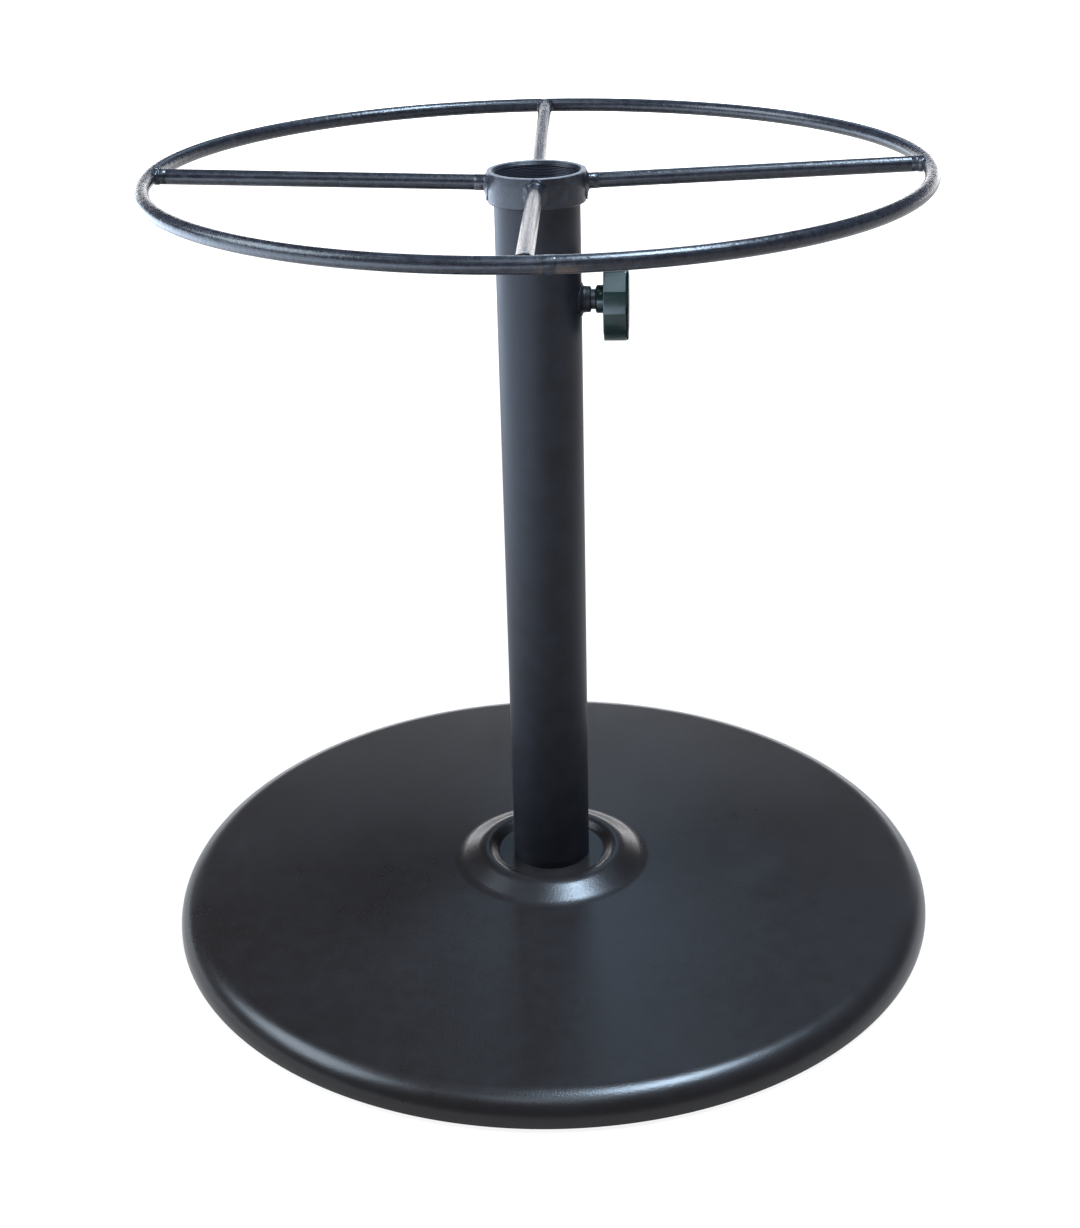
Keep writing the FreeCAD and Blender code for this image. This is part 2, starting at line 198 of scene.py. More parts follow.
# --- shader tools -------------------------------------------------------------------------------
class Wire:
    """What comes out of a shader node. Sums with it lay Math nodes."""

    def __init__(self, finish, socket):
        self.finish = finish
        self.socket = socket

    def maths(self, operation, *values):
        return self.finish.node("Math", {"operation": operation}, dict(enumerate(values)))

    def __add__(self, other):
        return self.maths("ADD", self, other)

    def __radd__(self, other):
        return self.maths("ADD", other, self)

    def __sub__(self, other):
        return self.maths("SUBTRACT", self, other)

    def __rsub__(self, other):
        return self.maths("SUBTRACT", other, self)

    def __mul__(self, other):
        return self.maths("MULTIPLY", self, other)

    def __rmul__(self, other):
        return self.maths("MULTIPLY", other, self)

    def __pow__(self, other):
        return self.maths("POWER", self, other)

    def __abs__(self):
        return self.maths("ABSOLUTE", self)

    def sine(self):
        return self.maths("SINE", self)


class Finish:
    """A material under the brush, or the studio's walls."""

    def __init__(self, name, kind=bpy.data.materials):
        self.material = kind.new(name)
        self.material.use_nodes = True
        self.tree = self.material.node_tree
        self.tree.nodes.clear()

    def node(self, kind, settings=None, inputs=None, output=0):
        """Lays one node: its settings first, then the values or wires of its sockets."""
        made = self.tree.nodes.new("ShaderNode" + kind)
        for name, value in (settings or {}).items():
            setattr(made, name, value)
        for name, value in (inputs or {}).items():
            if isinstance(value, Wire):
                self.tree.links.new(value.socket, made.inputs[name])
            else:
                made.inputs[name].default_value = value
        if output is not None:
            return Wire(self, made.outputs[output])

    def spot(self, scale=(1, 1, 1), shift=(0, 0, 0), turn=(0, 0, 0)):
        """Where on the stand a point lies, in metres, stretched to suit a pattern."""
        here = self.node("TexCoord", output="Object")
        return self.node("Mapping", {}, {"Vector": here, "Scale": scale, "Location": shift,
                                         "Rotation": turn})

    def strokes(self, scale):
        """Where along and round a rod a point lies, stretched to suit a pattern."""
        here = self.node("UVMap", {"uv_map": "strokes"})
        return self.node("Mapping", {}, {"Vector": here, "Scale": scale})

    def grain(self, where, size, detail=2.0, rough=0.5, warp=0.0):
        return self.node("TexNoise", {}, {"Vector": where, "Scale": 1 / size, "Detail": detail,
                                          "Roughness": rough, "Distortion": warp})

    def specks(self, where, size):
        return self.node("TexVoronoi", {"feature": "F1"}, {"Vector": where, "Scale": 1 / size})

    def ease(self, value, start, end):
        """Runs smoothly from 0 to 1 as a value goes from start to end."""
        settings = {"interpolation_type": "SMOOTHSTEP"}
        return self.node("MapRange", settings, {"Value": value, "From Min": start, "From Max": end})

    def axes(self):
        """The three coordinates of a point, in metres."""
        here = self.node("TexCoord", output="Object")
        return [self.node("SeparateXYZ", {}, {"Vector": here}, i) for i in range(3)]

    def blend(self, share, first, second):
        settings = {"data_type": "RGBA", "clamp_factor": True}
        return self.node("Mix", settings, {0: share, 6: first, 7: second}, 2)

    def relief(self, height, depth, over=None):
        """A bump whose height runs from 0 to 1 over a depth in metres."""
        inputs = {"Height": height, "Distance": depth, "Strength": 1.0}
        if over:
            inputs["Normal"] = over
        return self.node("Bump", {}, inputs)

    def done(self, inputs, shader="BsdfPrincipled", end="OutputMaterial"):
        """Closes the material with its shader and hands it over."""
        self.node(end, {}, {"Surface": self.node(shader, {}, inputs)}, None)
        return self.material


def grey(level, blue=0.0, warm=0.0):
    return (level + warm, level, level + blue, 1.0)


# --- finishes -----------------------------------------------------------------------------------
def powder_coat(name, tone, rough):
    """Powder coat or primer: orange peel, soft cloudiness, dust and a few rubbed places."""
    f = Finish(name)
    here = f.spot()
    clouds = f.grain(here, 0.16, 3.0, 0.55)
    mottle = f.grain(here, 0.012, 4.0, 0.6)
    peel = f.grain(here, 0.0013, 2.0, 0.6)
    tooth = f.grain(here, 0.0005, 2.0, 0.5)
    dust = f.ease(f.specks(here, 0.004), 0.10, 0.04) * f.ease(f.grain(here, 0.02, 2.0), 0.52, 0.66)
    rubbed = f.ease(f.grain(f.spot((1, 1, 0.35)), 0.09, 3.0, 0.5, 0.3), 0.60, 0.80)
    shade = f.ease(clouds * 0.6 + mottle * 0.4, 0.35, 0.65)
    colour = f.blend(shade, grey(tone * 0.85, -tone * 0.05, tone * 0.25),
                     grey(tone * 1.15, tone * 0.05, tone * 0.2))
    colour = f.blend(dust * 0.06, colour, grey(0.10, 0.01))
    colour = f.blend(rubbed * 0.20, colour, grey(tone * 1.8, tone * 0.3))
    finish = rough + (mottle - 0.5) * 0.06 + (clouds - 0.5) * 0.08 + rubbed * 0.04 + dust * 0.05
    bump = f.relief(peel, 0.00009)
    bump = f.relief(tooth, 0.000012, bump)
    return f.done({"Base Color": colour, "Roughness": finish, "Normal": bump,
                   "Specular IOR Level": 0.30})


def post_coat():
    """The post's coat, with the turned rings of its bore, drawing lines and a few scuffs."""
    f = Finish("post coat")
    x, y, z = f.axes()
    here = f.spot()
    reach = (x * x + y * y) ** 0.5
    bore = f.ease(reach, post_radius - 0.0012, post_radius - 0.0014)
    rings = (z * (2 * pi / 0.0009)).sine()
    drawn = f.grain(f.spot((1, 1, 0.02)), 0.0012, 2.0, 0.6)
    mottle = f.grain(here, 0.014, 4.0, 0.6)
    peel = f.grain(here, 0.0013, 2.0, 0.6)
    scuff = f.ease(f.grain(f.spot((1, 1, 0.25)), 0.03, 7.0, 0.75, 0.8), 0.64, 0.74)
    colour = f.blend(f.ease(mottle, 0.3, 0.7), grey(0.007, 0.002), grey(0.011, 0.004))
    colour = f.blend(scuff * 0.3, colour, grey(0.030, 0.006))
    colour = f.blend(bore * 0.7, colour, grey(0.030, 0.012))
    finish = 0.44 + (mottle - 0.5) * 0.12 + (drawn - 0.5) * 0.08 + scuff * 0.1
    bump = f.relief(peel, 0.00004)
    bump = f.relief(drawn, 0.00001, bump)
    bump = f.relief(rings * bore, 0.00009, bump)
    return f.done({"Base Color": colour, "Roughness": finish, "Normal": bump,
                   "Specular IOR Level": 0.17})


def enamel(name, stroked, joint=False):
    """Black enamel brushed on by hand: streaks along a rod, sags, thin places and a little rust."""
    f = Finish(name)
    here = f.spot()
    if stroked:
        streak = f.grain(f.strokes((0.012, 1, 1)), 0.0009, 3.0, 0.6)
        bristle = f.grain(f.strokes((0.02, 1, 1)), 0.0003, 2.0, 0.5)
    else:
        streak = f.grain(f.spot((1, 1, 0.25)), 0.002, 3.0, 0.6)
        bristle = f.grain(here, 0.0005, 2.0, 0.5)
    lumps = f.grain(here, 0.004, 3.0, 0.6)
    grit = f.grain(here, 0.0007, 3.0, 0.7)
    thin = f.ease(f.grain(here, 0.03, 5.0, 0.7) * 0.6 + streak * 0.4, 0.54, 0.66)
    rust = f.ease(f.grain(f.spot((1, 1, 1), (0.7, 0.2, 0.4)), 0.022, 6.0, 0.75), 0.62, 0.74)
    colour = f.blend(f.ease(lumps, 0.3, 0.7), grey(0.008, 0.002), grey(0.016, 0.005))
    colour = f.blend(thin * 0.5, colour, grey(0.050, 0.010))
    colour = f.blend(rust * 0.30, colour, (0.040, 0.020, 0.013, 1))
    if joint:
        x, y, z = f.axes()
        dx = x - ring_radius * cos(ring_joint_angle) - 0.004
        dy = y - ring_radius * sin(ring_joint_angle)
        burn = f.ease((dx * dx + dy * dy) ** 0.5 + (lumps - 0.5) * 0.012, 0.014, 0.004)
        face = f.ease(z, ring_height + 0.002, ring_height - 0.002)
        colour = f.blend(burn * face * 0.6, colour, (0.075, 0.046, 0.034, 1))
    finish = 0.27 + (streak - 0.5) * 0.22 + (grit - 0.5) * 0.16 + thin * 0.10 + rust * 0.15
    bump = f.relief(streak, 0.00012)
    bump = f.relief(lumps, 0.00030, bump)
    bump = f.relief(grit, 0.00004, bump)
    bump = f.relief(bristle, 0.00002, bump)
    return f.done({"Base Color": colour, "Roughness": finish, "Normal": bump, "Coat Weight": 0.08,
                   "Coat Roughness": 0.18, "Specular IOR Level": 0.28})


def collar_enamel():
    """The same enamel over the collar, with a painted highlight on the top rim where light falls on the
    top face.
    """
    f = Finish("collar enamel")
    x, y, z = f.axes()
    here = f.spot()
    reach = (x * x + y * y) ** 0.5
    grit = f.grain(here, 0.0011, 4.0, 0.75)
    lumps = f.grain(here, 0.005, 3.0, 0.6)
    blots = f.ease(f.grain(f.spot((1, 1, 1), (0.3, 0.9, 0.1)), 0.007, 5.0, 0.7), 0.52, 0.66)
    lip = collar_lip_radius + collar_lead_in
    bore = f.ease(reach, lip - 0.0002, lip - 0.0004)
    # Painted highlight: the top rim and its rounding are made much lighter to stand in for light on the
    # top face.
    rim = f.ease(z + (lumps - 0.5) * 0.0012, collar_top - 0.0006, collar_top - 0.0002)
    rim = rim * (1 - bore)
    turned = (z * (2 * pi / 0.0008)).sine()
    colour = f.blend(f.ease(lumps, 0.3, 0.7), grey(0.007, 0.002), grey(0.013, 0.005))
    colour = f.blend(blots * 0.30, colour, grey(0.035, 0.010))
    # Blends in the painted rim highlight.
    colour = f.blend(rim * 0.75, colour, grey(0.13, 0.008, 0.006))
    finish = 0.30 + (grit - 0.5) * 0.22 + blots * 0.08 + rim * 0.06
    bump = f.relief(grit, 0.00009)
    bump = f.relief(lumps, 0.00025, bump)
    bump = f.relief(turned * bore, 0.00008, bump)
    return f.done({"Base Color": colour, "Roughness": finish, "Normal": bump,
                   "Specular IOR Level": 0.26})


def knob_plastic():
    """Glossy dark green thermoset with flow marks and hairline scratches."""
    f = Finish("knob thermoset")
    here = f.spot()
    flow = f.grain(f.spot((0.4, 1, 1)), 0.016, 3.0, 0.6, 0.7)
    haze = f.grain(here, 0.003, 4.0, 0.65)
    scratch = f.grain(f.spot((0.06, 1, 1), (0, 0, 0), (0.6, 0.3, 0.2)), 0.0006, 3.0, 0.7)
    colour = f.blend(f.ease(flow, 0.3, 0.7), (0.004, 0.011, 0.010, 1), (0.008, 0.019, 0.017, 1))
    colour = f.blend(f.ease(scratch, 0.66, 0.74) * 0.3, colour, (0.07, 0.10, 0.09, 1))
    finish = 0.20 + (haze - 0.5) * 0.12 + f.ease(scratch, 0.62, 0.72) * 0.12
    bump = f.relief(flow, 0.00006)
    bump = f.relief(scratch, 0.000006, bump)
    return f.done({"Base Color": colour, "Roughness": finish, "Normal": bump, "Coat Weight": 0.12,
                   "Coat Roughness": 0.08, "Specular IOR Level": 0.3})


def bare_metal(name, colour_a, colour_b, rough, size, metal=1.0, depth=0.00002, stretch=(1, 1, 1)):
    """Plated, turned, oxidised or cast metal: cloudy colour, uneven sheen and tool marks."""
    f = Finish(name)
    here = f.spot(stretch)
    clouds = f.grain(f.spot(), size * 6, 4.0, 0.6)
    marks = f.grain(here, size, 4.0, 0.65)
    grit = f.grain(f.spot(), size * 0.35, 3.0, 0.7)
    colour = f.blend(f.ease(clouds * 0.6 + grit * 0.4, 0.35, 0.65), colour_a, colour_b)
    finish = rough + (marks - 0.5) * 0.25 + (clouds - 0.5) * 0.15
    bump = f.relief(marks, depth)
    bump = f.relief(grit, depth * 0.5, bump)
    return f.done({"Base Color": colour, "Roughness": finish, "Normal": bump, "Metallic": metal})


def soft_plastic(name, colour_a, colour_b, rough, size, depth):
    """Rubber or nylon: a matt moulded skin with a fine texture and a little dust."""
    f = Finish(name)
    here = f.spot()
    skin = f.grain(here, size, 3.0, 0.6)
    clouds = f.grain(here, size * 12, 4.0, 0.6)
    dust = f.ease(f.grain(here, size * 4, 5.0, 0.7), 0.58, 0.72)
    colour = f.blend(f.ease(clouds, 0.3, 0.7), colour_a, colour_b)
    colour = f.blend(dust * 0.25, colour, grey(0.22, -0.01, 0.01))
    finish = rough + (skin - 0.5) * 0.12 + dust * 0.1
    return f.done({"Base Color": colour, "Roughness": finish, "Normal": f.relief(skin, depth)})


base_finish = powder_coat("base powder coat", 0.0095, 0.29)
post_finish = post_coat()
rod_finish = enamel("rod enamel", True)
ring_finish = enamel("ring enamel", True, joint=True)
bead_finish = enamel("bead enamel", False)
collar_finish = collar_enamel()
knob_finish = knob_plastic()
plate_finish = powder_coat("plate primer", 0.045, 0.55)
oxide_finish = bare_metal("black oxide", grey(0.020, 0.002), grey(0.040, 0.004), 0.38, 0.0008, 0.6)
iron_finish = bare_metal("cast iron", grey(0.09, 0.0, 0.012), grey(0.14, 0.0, 0.02), 0.62, 0.0014,
                         0.5, 0.0002)
zinc_finish = bare_metal("bright zinc", grey(0.55, 0.03), grey(0.68, 0.0, 0.02), 0.30, 0.0007)
plug_finish = bare_metal("turned steel", grey(0.28, 0.01), grey(0.36, 0.0, 0.01), 0.34, 0.0005,
                         1.0, 0.00002, (0.3, 0.3, 3))
pad_finish = soft_plastic("nylon", grey(0.62, -0.07, 0.03), grey(0.72, -0.06, 0.03), 0.45, 0.0004,
                          0.00002)
foot_finish = soft_plastic("foot rubber", grey(0.018), grey(0.030), 0.78, 0.0005, 0.00005)

kept_finishes = {
    "post_tube": post_finish,
    "clamp_boss": post_finish,
    "clamp_stud": oxide_finish,
    "clamp_pad": pad_finish,
    "ballast_disc": iron_finish,
    "bottom_plate": plate_finish,
    "plate_screws": zinc_finish,
    "foot_screws": zinc_finish,
    "base_bolt": zinc_finish,
    "base_bolt_washer": zinc_finish,
    "base_bolt_spring_washer": zinc_finish,
    "post_foot_plug": plug_finish,
    "rubber_feet": foot_finish,
}
for node_name, finish in kept_finishes.items():
    for material_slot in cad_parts[node_name].material_slots:
        material_slot.material = finish


# --- base cover ---------------------------------------------------------------------------------
def pressed_cover():
    mesh = spun([
        (base_radius, rim_lift, 0),
        (base_radius, rim_lift + rim_round, rim_round),
        (boss_foot_radius, boss_foot_height, boss_foot_round),
        (crest_outer_radius, boss_crest, crest_outer_round),
        (crest_inner_radius, boss_crest, crest_inner_round),
        (recess_radius, post_foot, recess_round),
        (bolt_hole_radius, post_foot, 0),
    ], turns=256, steps=10)
    inside = [f for f in mesh.faces if f.normal.z < 0 and f.calc_center_median().z > post_foot - FINE]
    if len(inside) > len(mesh.faces) / 2:
        bmesh.ops.reverse_faces(mesh, faces=mesh.faces[:])
    bmesh.ops.solidify(mesh, geom=mesh.faces[:], thickness=cover_wall)
    return mesh


place("cover_pressing", pressed_cover(), base_finish, "base", "base_coat", "base_cover")


# --- ring and spokes ----------------------------------------------------------------------------
def ring_place(point):
    turned = Matrix.Rotation(pi - ring_joint_angle, 3, "Z") @ point
    along = atan2(turned.y, turned.x) * ring_radius
    reach = hypot(point.x, point.y) - ring_radius
    return along, atan2(reach, point.z - ring_height) * rod_radius


def ring_rod():
    mesh = bmesh.new()
    bmesh.ops.create_circle(mesh, segments=28, radius=rod_radius)
    stand = Matrix.Translation((ring_radius, 0, ring_height)) @ Matrix.Rotation(pi / 2, 4, "X")
    bmesh.ops.transform(mesh, matrix=stand, verts=mesh.verts[:])
    bmesh.ops.spin(mesh, geom=mesh.verts[:] + mesh.edges[:], cent=ORIGIN, axis=UP,
                   angle=2 * pi, steps=288, use_merge=True)
    bmesh.ops.remove_doubles(mesh, verts=mesh.verts[:], dist=FINE)
    bmesh.ops.recalc_face_normals(mesh, faces=mesh.faces[:])
    lay_strokes(mesh, ring_place, (2 * pi * ring_radius, 2 * pi * rod_radius))
    return mesh


def spoke_line():
    inner = Vector((collar_radius, 0, spoke_height))
    outer = Vector((ring_radius, 0, ring_height))
    return inner, outer


def spoke_rod(angle, seed):
    """One spoke, run into the collar's wall and into the ring's rod."""
    inner, outer = spoke_line()
    run = (outer - inner).normalized()
    length = (outer - inner).length
    mesh = bmesh.new()
    bmesh.ops.create_cone(mesh, cap_ends=True, cap_tris=False, segments=28, radius1=rod_radius,
                          radius2=rod_radius, depth=length)
    bmesh.ops.translate(mesh, vec=UP * length / 2, verts=mesh.verts[:])
    cut_across(mesh, UP, [length * i / spoke_cuts for i in range(1, spoke_cuts)])
    lay_strokes(mesh, lambda p: (p.z + seed, atan2(p.y, p.x) * rod_radius), (0, 2 * pi * rod_radius))
    turn = UP.rotation_difference(run).to_matrix().to_4x4()
    stand = Matrix.Rotation(angle, 4, "Z") @ Matrix.Translation(inner - run * spoke_sink) @ turn
    bmesh.ops.transform(mesh, matrix=stand, verts=mesh.verts[:])
    return mesh


# --- weld beads ---------------------------------------------------------------------------------
def bead(rod, leg, length, skin_radius, lump, seed, lift=0.0, droop=0.0):
    """A weld bead round a rod along +X whose foot lies on a skin of that radius at x = 0.

    It is open at both ends, which sink into the metal that it joins.
    """
    mesh = spun([
        (-1.6 * MM, rod + leg, 0),
        (0.25 * MM, rod + leg, 0.2 * MM),
        (0.45 * MM, rod + leg * 0.8, 0.2 * MM),
        (leg * 0.45, rod + 0.12 * MM, min(leg, length) * 0.42),
        (length, rod + 0.1 * MM, 0),
        (length + 0.4 * MM, rod - 0.5 * MM, 0),
    ], axis=OUT, turns=44, steps=5)
    shift = Vector((seed * 4.1, seed * 9.7, seed * 2.3))
    for vert in mesh.verts:
        reach = hypot(vert.co.y, vert.co.z)
        extra = reach - rod
        upright = vert.co.z / reach
        swell = 1 + (lift if upright > 0 else droop) * upright * upright
        if extra > 0:
            wide = rod + extra * swell
            vert.co.y *= wide / reach
            vert.co.z *= wide / reach
            wave = noise.noise(vert.co / lump + shift) + 0.5 * noise.noise(vert.co * 2.3 / lump - shift)
            share = min(1.0, extra / (0.5 * leg))
            radial = Vector((0.35, vert.co.y / wide, vert.co.z / wide)).normalized()
            vert.co += radial * wave * share * leg * 0.24
        side = min(abs(vert.co.y), skin_radius * 0.9)
        fall = skin_radius - sqrt(skin_radius * skin_radius - side * side)
        vert.co.x -= fall * min(1.0, max(0.0, extra) / leg)
    bmesh.ops.recalc_face_normals(mesh, faces=mesh.faces[:])
    return mesh


def rod_bead(angle, at, away, leg, length, skin_radius, seed, lift=0.0, droop=0.0):
    """A bead stood on the spoke's line at one of its ends."""
    mesh = bead(rod_radius, leg, length, skin_radius, rod_bead_lumps, seed, lift, droop)
    stand = Matrix.Rotation(angle, 4, "Z") @ Matrix.Translation(at)
    stand = stand @ OUT.rotation_difference(away).to_matrix().to_4x4()
    bmesh.ops.transform(mesh, matrix=stand, verts=mesh.verts[:])
    return mesh


place("ring_rod", ring_rod(), ring_finish, "ring_frame", "ring_enamel", "table_ring")
inner_end, outer_end = spoke_line()
spoke_run = (outer_end - inner_end).normalized()
ring_weld_place = outer_end - spoke_run * (rod_radius + ring_bead_overlap)
for i, side_name in enumerate(("right", "rear", "left", "front")):
    angle = ring_turn + pi / 2 * i
    place("spoke_rod_" + side_name, spoke_rod(angle, i * 0.37), rod_finish, "ring_frame",
          "ring_enamel", "spoke_" + side_name)
    foot = rod_bead(angle, inner_end, spoke_run, collar_bead_leg, collar_bead_length,
                    collar_radius, i + 1.0, -0.1, 1.3)
    place("collar_bead_" + side_name, foot, bead_finish, "ring_frame", "ring_enamel",
          "collar_welds", sharp=60)
    tip = rod_bead(angle, ring_weld_place, -spoke_run, ring_bead_leg, ring_bead_length,
                   rod_radius * 3, i + 7.0, ring_bead_flatness, ring_bead_flatness)
    place("ring_bead_" + side_name, tip, bead_finish, "ring_frame", "ring_enamel",
          "ring_welds", sharp=60)


def joint_bead():
    """The bead where the ring's rod was closed, ground nearly flush."""
    mesh = bmesh.new()
    bmesh.ops.create_cone(mesh, cap_ends=True, cap_tris=False, segments=36, radius1=rod_radius,
                          radius2=rod_radius, depth=2 * joint_bead_half)
    cut_across(mesh, UP, [i * MM / 2 - joint_bead_half for i in range(1, 14)])
    for vert in mesh.verts:
        bulge = 1 - (vert.co.z / joint_bead_half) ** 2
        swell = noise.noise(Vector((vert.co.x, vert.co.y, vert.co.z * 0.8)) / (2.4 * MM))
        reach = hypot(vert.co.x, vert.co.y)
        wide = 1 + (bulge * (0.18 + 0.10 * swell) - 0.05) * MM / reach
        vert.co.x *= wide
        vert.co.y *= wide
    stand = Matrix.Rotation(ring_joint_angle, 4, "Z") @ Matrix.Translation((ring_radius, 0, ring_height))
    stand = stand @ Matrix.Rotation(pi / 2, 4, "X")
    bmesh.ops.transform(mesh, matrix=stand, verts=mesh.verts[:])
    for vert in mesh.verts:
        vert.co.z = min(vert.co.z, ring_top)
    return mesh


place("ring_joint_bead", joint_bead(), bead_finish, "ring_frame", "ring_enamel",
      "ring_joint_weld", sharp=60)


# --- collar -------------------------------------------------------------------------------------
def collar_sleeve():
    middle = (collar_low + collar_top) / 2
    mesh = spun([
        (collar_radius, middle, 0),
        (collar_radius, collar_top, 0.5 * MM),
        (collar_lip_radius + collar_lead_in, collar_top, 0.3 * MM),
        (collar_lip_radius, collar_top - collar_lead_in, 0.3 * MM),
        (collar_lip_radius, post_top, 0.1 * MM),
        (collar_bore_radius, post_top, 0.1 * MM),
        (collar_bore_radius, collar_low, 0.3 * MM),
        (collar_radius, collar_low, 1.2 * MM),
        (collar_radius, middle, 0),
    ], turns=144, steps=5)
    return mesh


place("collar_sleeve", collar_sleeve(), collar_finish, "ring_frame", "ring_enamel", "collar")


# --- clamp --------------------------------------------------------------------------------------
def boss_bead():
    mesh = bead(clamp_boss_radius, boss_bead_leg, boss_bead_length, post_radius, boss_bead_lumps, 3.3)
    bmesh.ops.translate(mesh, vec=(post_radius, 0, clamp_height), verts=mesh.verts[:])
    return mesh


def knob_grip():
    """Twelve flat sides, a deeper rounding on the outer face, and a neck that holds the stud.

    Known fault: the finished outer face folds over itself, and some corners stand out too far.
    """
    mesh = bmesh.new()
    bmesh.ops.create_circle(mesh, cap_ends=True, segments=knob_sides, radius=knob_corner_radius)
    stand = Matrix.Translation((knob_back, 0, 0)) @ Matrix.Rotation(pi / 2, 4, "Y")
    bmesh.ops.transform(mesh, matrix=stand, verts=mesh.verts[:])
    turn = Matrix.Rotation(-pi / 2 - knob_clocking, 4, "X")
    bmesh.ops.transform(mesh, matrix=turn, verts=mesh.verts[:])
    pulled = bmesh.ops.extrude_face_region(mesh, geom=mesh.faces[:], use_keep_orig=True)["geom"]
    front = [item for item in pulled if isinstance(item, bmesh.types.BMVert)]
    bmesh.ops.translate(mesh, vec=OUT * (knob_far - knob_back), verts=front)
    bmesh.ops.recalc_face_normals(mesh, faces=mesh.faces[:])

    def clock(vert):
        return atan2(vert.co.z, vert.co.y)

    def face_at(x):
        flat = [f for f in mesh.faces if all(abs(v.co.x - x) < FINE for v in f.verts)]
        return max(flat, key=lambda f: f.calc_area())

    bmesh.ops.bevel(mesh, geom=face_at(knob_far).edges[:], offset=knob_front_round, offset_type="OFFSET",
                    affect="EDGES", segments=6, profile=0.5, material=-1)
    bmesh.ops.bevel(mesh, geom=face_at(knob_back).edges[:], offset=knob_back_round, offset_type="OFFSET",
                    affect="EDGES", segments=4, profile=0.5, material=-1)
    corners = [e for e in mesh.edges if abs(clock(e.verts[0]) - clock(e.verts[1])) < 0.001]
    bmesh.ops.bevel(mesh, geom=corners, offset=knob_corner_offset, offset_type="OFFSET",
                    affect="EDGES", segments=3, profile=0.5, material=-1)
    front = face_at(knob_far)
    bmesh.ops.inset_region(mesh, faces=[front], thickness=knob_face_border, use_even_offset=True)
    bmesh.ops.inset_region(mesh, faces=[front], thickness=knob_face_step,
                           depth=-knob_face_depth, use_even_offset=True)
    back = face_at(knob_back)
    rim = back.edges[:]
    count = len(rim)
    bmesh.ops.delete(mesh, geom=[back], context="FACES_ONLY")
    made = bmesh.ops.create_circle(mesh, segments=count, radius=knob_neck_radius + knob_root_flare)
    bmesh.ops.transform(mesh, matrix=stand, verts=made["verts"])
    root = list({e for v in made["verts"] for e in v.link_edges})
    bmesh.ops.bridge_loops(mesh, edges=rim + root)
    neck = knob_neck_radius
    stops = [(neck + 0.45 * MM, knob_back - 0.25 * MM), (neck + 0.1 * MM, knob_back - 0.7 * MM),
             (neck, knob_back - 1.3 * MM), (neck, knob_near + 1.3 * MM),
             (neck - 0.35 * MM, knob_near + 0.6 * MM), (neck - 0.9 * MM, knob_near + 0.15 * MM),
             (neck - 1.3 * MM, knob_near), (stud_radius + 0.05 * MM, knob_near),
             (stud_radius, knob_near + 0.2 * MM), (stud_radius, knob_near + stud_in_knob)]
    end = draw_ring(mesh, root, stops)
    bmesh.ops.contextual_create(mesh, geom=end)
    bmesh.ops.recalc_face_normals(mesh, faces=mesh.faces[:])
    bmesh.ops.translate(mesh, vec=UP * clamp_height, verts=mesh.verts[:])
    return mesh


def draw_ring(mesh, edges, stops):
    """Pulls a ring of edges about the X axis on through (radius, x) stops, and returns the last one."""
    for radius, x in stops:
        pulled = bmesh.ops.extrude_edge_only(mesh, edges=edges)["geom"]
        verts = [item for item in pulled if isinstance(item, bmesh.types.BMVert)]
        edges = [item for item in pulled if isinstance(item, bmesh.types.BMEdge)]
        for vert in verts:
            reach = hypot(vert.co.y, vert.co.z)
            vert.co = Vector((x, vert.co.y * radius / reach, vert.co.z * radius / reach))
    return edges


place("boss_bead", boss_bead(), post_finish, "base", "post_coat", "clamp_boss_weld", sharp=60)
place("knob_grip", knob_grip(), knob_finish, "clamp_screw", "knob_plastic", "clamp_knob", sharp=30)


# --- floor, lights and camera -------------------------------------------------------------------
def staged(name, mesh, finish):
    """A mesh that belongs to the studio, not to the stand."""
    data = bpy.data.meshes.new(name)
    mesh.to_mesh(data)
    mesh.free()
    data.materials.append(finish)
    made = bpy.data.objects.new(name, data)
    bpy.context.scene.collection.objects.link(made)
    return made


def pale_backdrop():
    """A round wall far off that only the camera sees. The stand mirrors the world beyond it."""
    f = Finish("pale wall")
    f.done({"Base Color": grey(0.0), "Emission Color": grey(0.93), "Emission Strength": 1.0,
            "Specular IOR Level": 0.0})
    mesh = bmesh.new()
    bmesh.ops.create_cone(mesh, cap_ends=True, segments=96, radius1=28, radius2=28, depth=50)
    wall = staged("backdrop", mesh, f.material)
    wall.visible_glossy = False
    wall.visible_diffuse = False
    wall.visible_shadow = False
    wall.visible_transmission = False


def pale_floor():
    f = Finish("pale floor")
    clouds = f.grain(f.spot(), 0.9, 2.0)
    colour = f.blend(clouds, grey(0.09), grey(0.11))
    x, y = f.axes()[:2]
    glow = f.blend(f.ease(y - abs(x) * 0.6, 0.6, 4.5), grey(0.90), grey(3.8))
    glow = f.blend(f.ease(0 - x - y * 0.3, 0.36, 0.95), glow, (4.6, 5.5, 6.8, 1))
    material = f.done({"Base Color": colour, "Roughness": 0.9, "Emission Color": glow,
                       "Emission Strength": 1.0, "Specular IOR Level": 0.0})
    mesh = bmesh.new()
    bmesh.ops.create_grid(mesh, x_segments=1, y_segments=1, size=60)
    staged("floor", mesh, material)


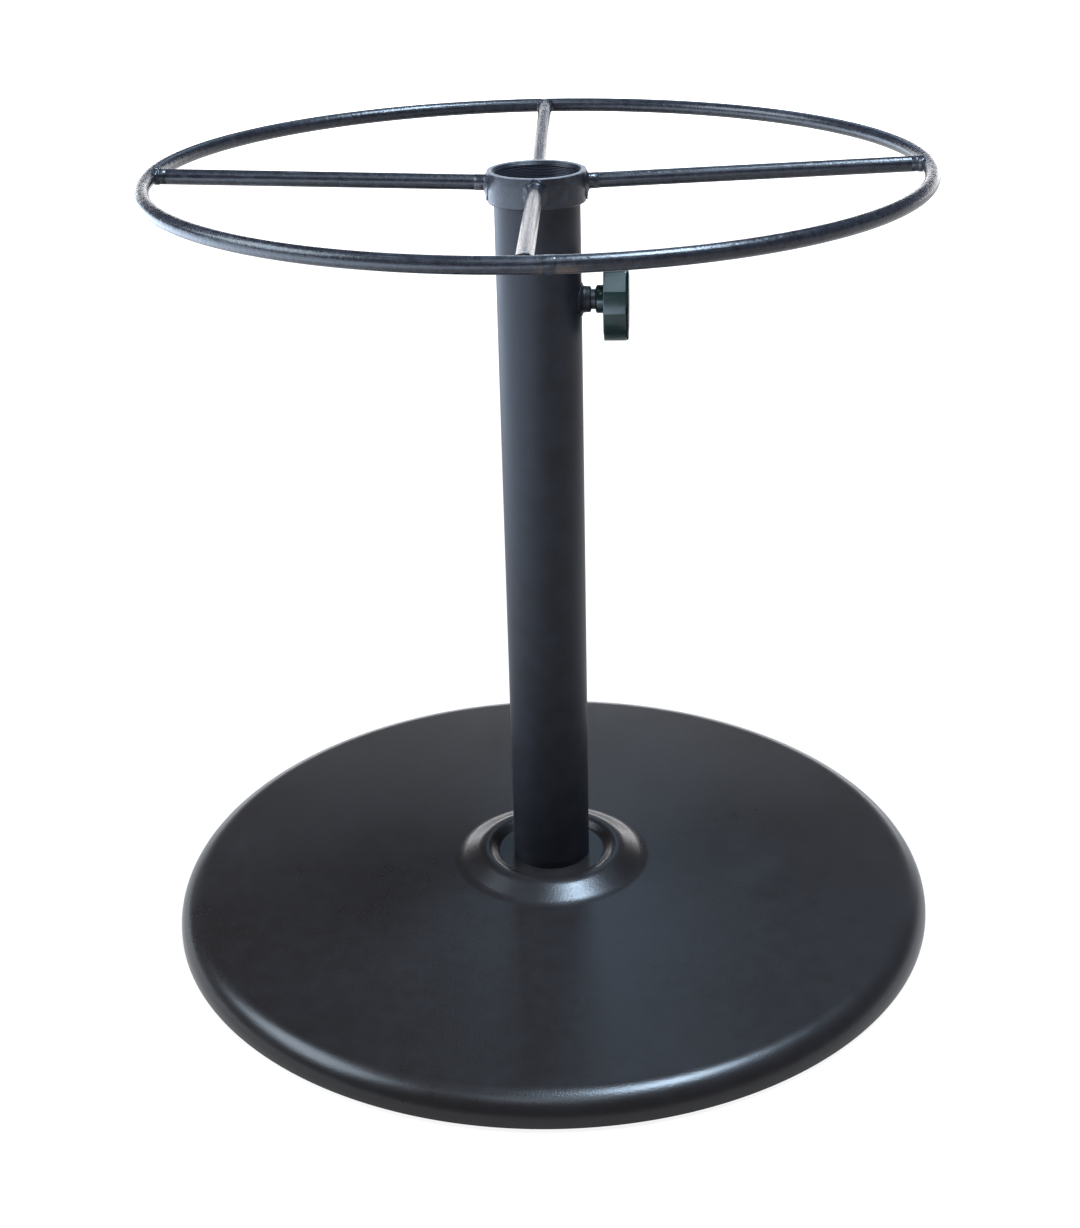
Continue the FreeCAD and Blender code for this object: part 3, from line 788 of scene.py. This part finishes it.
def panel(name, toward, distance, size, power, colour):
    """A soft rectangular light that faces the stand."""
    data = bpy.data.lights.new(name, "AREA")
    data.shape = "RECTANGLE"
    data.size, data.size_y = size
    data.energy = power
    data.color = colour
    light = bpy.data.objects.new(name, data)
    aim = Vector(toward).normalized()
    turn = aim.to_track_quat("Z", "Y")
    light.matrix_world = Matrix.Translation(aim * distance + UP * 0.2) @ turn.to_matrix().to_4x4()
    light.visible_camera = False
    bpy.context.scene.collection.objects.link(light)


def sky():
    """A dim studio with one bright far wall low down behind the stand."""
    f = Finish("studio", bpy.data.worlds)
    toward = f.node("TexCoord", output="Generated")
    y, z = [f.node("SeparateXYZ", {}, {"Vector": toward}, i) for i in (1, 2)]
    wall = f.blend(f.ease(y, 0.78, 0.94), grey(0.30), grey(4.8, 0.15))
    dim = f.blend(f.ease(z, 0.3, 0.9), grey(0.03, 0.004), grey(0.06, 0.01))
    bpy.context.scene.world = f.done({"Color": f.blend(f.ease(z, 0.08, 0.17), wall, dim)},
                                     "Background", "OutputWorld")


def stand_camera():
    """The eye's place and its turns, in radians: down, aside and about its own line of sight."""
    eye = Vector((0.0624, -1.0743, 0.7013))
    pitch, yaw, roll = 0.4301, -0.0619, -0.0244
    ahead = Vector((sin(yaw) * cos(pitch), cos(yaw) * cos(pitch), -sin(pitch)))
    right = Vector((cos(yaw), -sin(yaw), 0))
    up = right.cross(ahead)
    right, up = right * cos(roll) + up * sin(roll), up * cos(roll) - right * sin(roll)
    data = bpy.data.cameras.new("camera")
    data.lens = 54.0
    data.sensor_width = 36.0
    camera = bpy.data.objects.new("camera", data)
    turn = Matrix((right, up, -ahead)).transposed()
    camera.matrix_world = Matrix.Translation(eye) @ turn.to_4x4()
    bpy.context.scene.collection.objects.link(camera)
    bpy.context.scene.camera = camera


pale_floor()
pale_backdrop()
sky()
panel("overhead", (0.29, -0.02, 0.96), 2.6, (1.0, 0.6), 170, (0.62, 0.80, 1.0))
panel("window", (-0.76, -0.10, 0.64), 2.6, (1.7, 1.2), 92, (0.72, 0.86, 1.0))
panel("ceiling", (0.0, -0.47, 0.88), 2.6, (1.2, 0.8), 16, (0.72, 0.86, 1.0))
panel("far wall", (0.0, 0.78, 0.62), 3.0, (0.55, 1.5), 4.5, (0.50, 0.75, 1.0))
stand_camera()
bpy.context.scene.view_settings.view_transform = "Standard"
